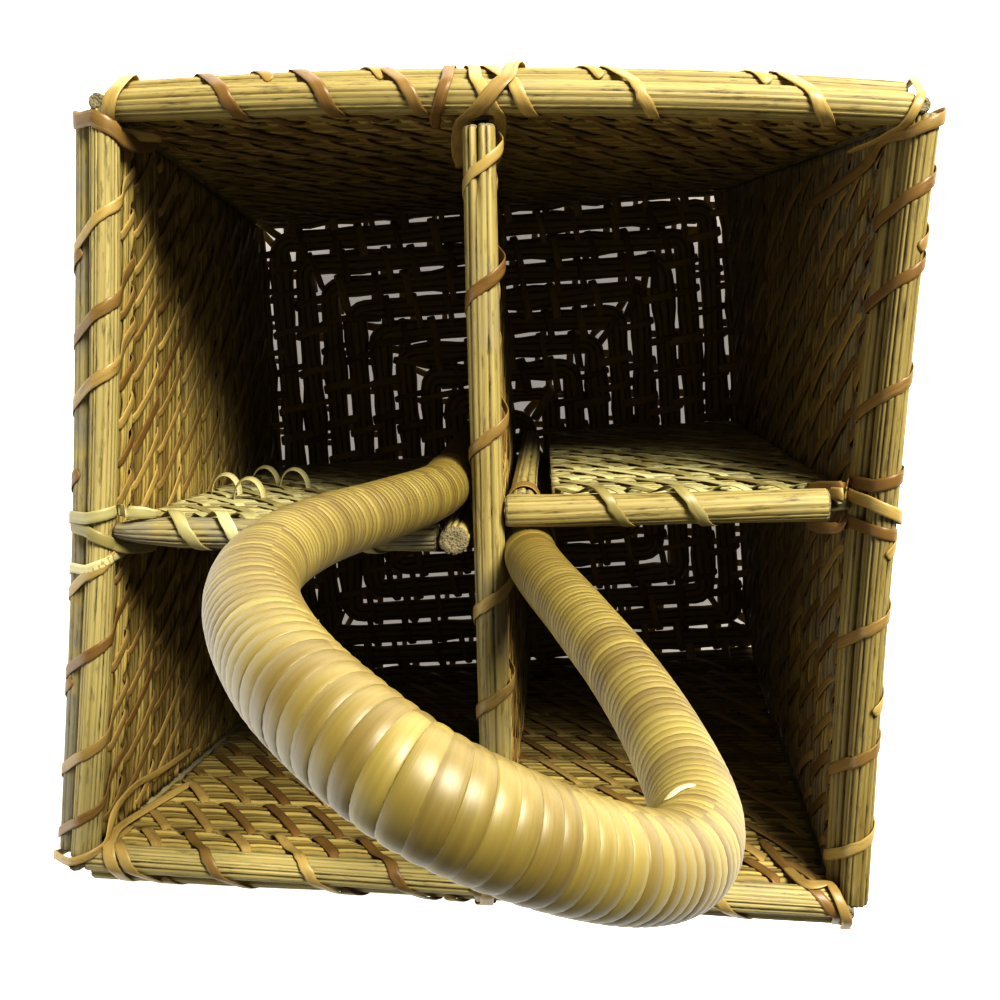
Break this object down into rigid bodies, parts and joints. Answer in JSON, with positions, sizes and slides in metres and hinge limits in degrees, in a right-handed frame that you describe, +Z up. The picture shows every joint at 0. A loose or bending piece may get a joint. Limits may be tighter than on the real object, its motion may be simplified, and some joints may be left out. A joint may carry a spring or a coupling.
{
  "type": "woven bottle caddy",
  "caption": "Square open-top woven basket of reed bundles laced with cane, divided into compartments, with a tall wound loop handle fixed at the centre.",
  "frame": {"origin": "underside of the base coil, on its flat standing face at the middle of the base", "axes": "+Z up; +X and +Y square to the rim, with the long divider running along Y and the short ones along X"},
  "size_m": [0.2179, 0.2173, 0.3386],
  "materials": {
    "reed": "satin natural reed",
    "reed_bundle": "satin natural reed, laid in bundles",
    "cane": "satin split cane",
    "pole": "matt bare pole",
    "cane_winding": "glossy split cane"
  },
  "bodies": {
    "root": {"base_coil": "reed_bundle", "centre_post_east": "reed", "centre_post_west": "reed", "corner_lashing_north_east": "cane", "corner_lashing_north_west": "cane", "corner_lashing_south_east": "cane", "corner_lashing_south_west": "cane", "corner_post_north_east": "reed", "corner_post_north_west": "reed", "corner_post_south_east": "reed", "corner_post_south_west": "reed", "divider_east": "reed_bundle", "divider_lacing_east": "cane", "divider_lacing_long": "cane", "divider_lacing_west": "cane", "divider_long": "reed_bundle", "divider_rod_east": "reed", "divider_rod_long": "reed", "divider_rod_west": "reed", "divider_west": "reed_bundle", "end_lashing_east": "cane", "end_lashing_north": "cane", "end_lashing_south": "cane", "end_lashing_west": "cane", "handle_pole": "pole", "handle_sleeve_east": "cane_winding", "handle_sleeve_west": "cane_winding", "handle_winding": "cane_winding", "leg_binding_east": "cane", "leg_binding_west": "cane", "rim_lacing_east": "cane", "rim_lacing_north": "cane", "rim_lacing_south": "cane", "rim_lacing_west": "cane", "rim_reed_east_inner": "reed", "rim_reed_east_outer": "reed", "rim_reed_north_inner": "reed", "rim_reed_north_outer": "reed", "rim_reed_south_inner": "reed", "rim_reed_south_outer": "reed", "rim_reed_west_inner": "reed", "rim_reed_west_outer": "reed", "wall_east": "reed_bundle", "wall_north": "reed_bundle", "wall_south": "reed_bundle", "wall_west": "reed_bundle"}
  },
  "joints": []
}
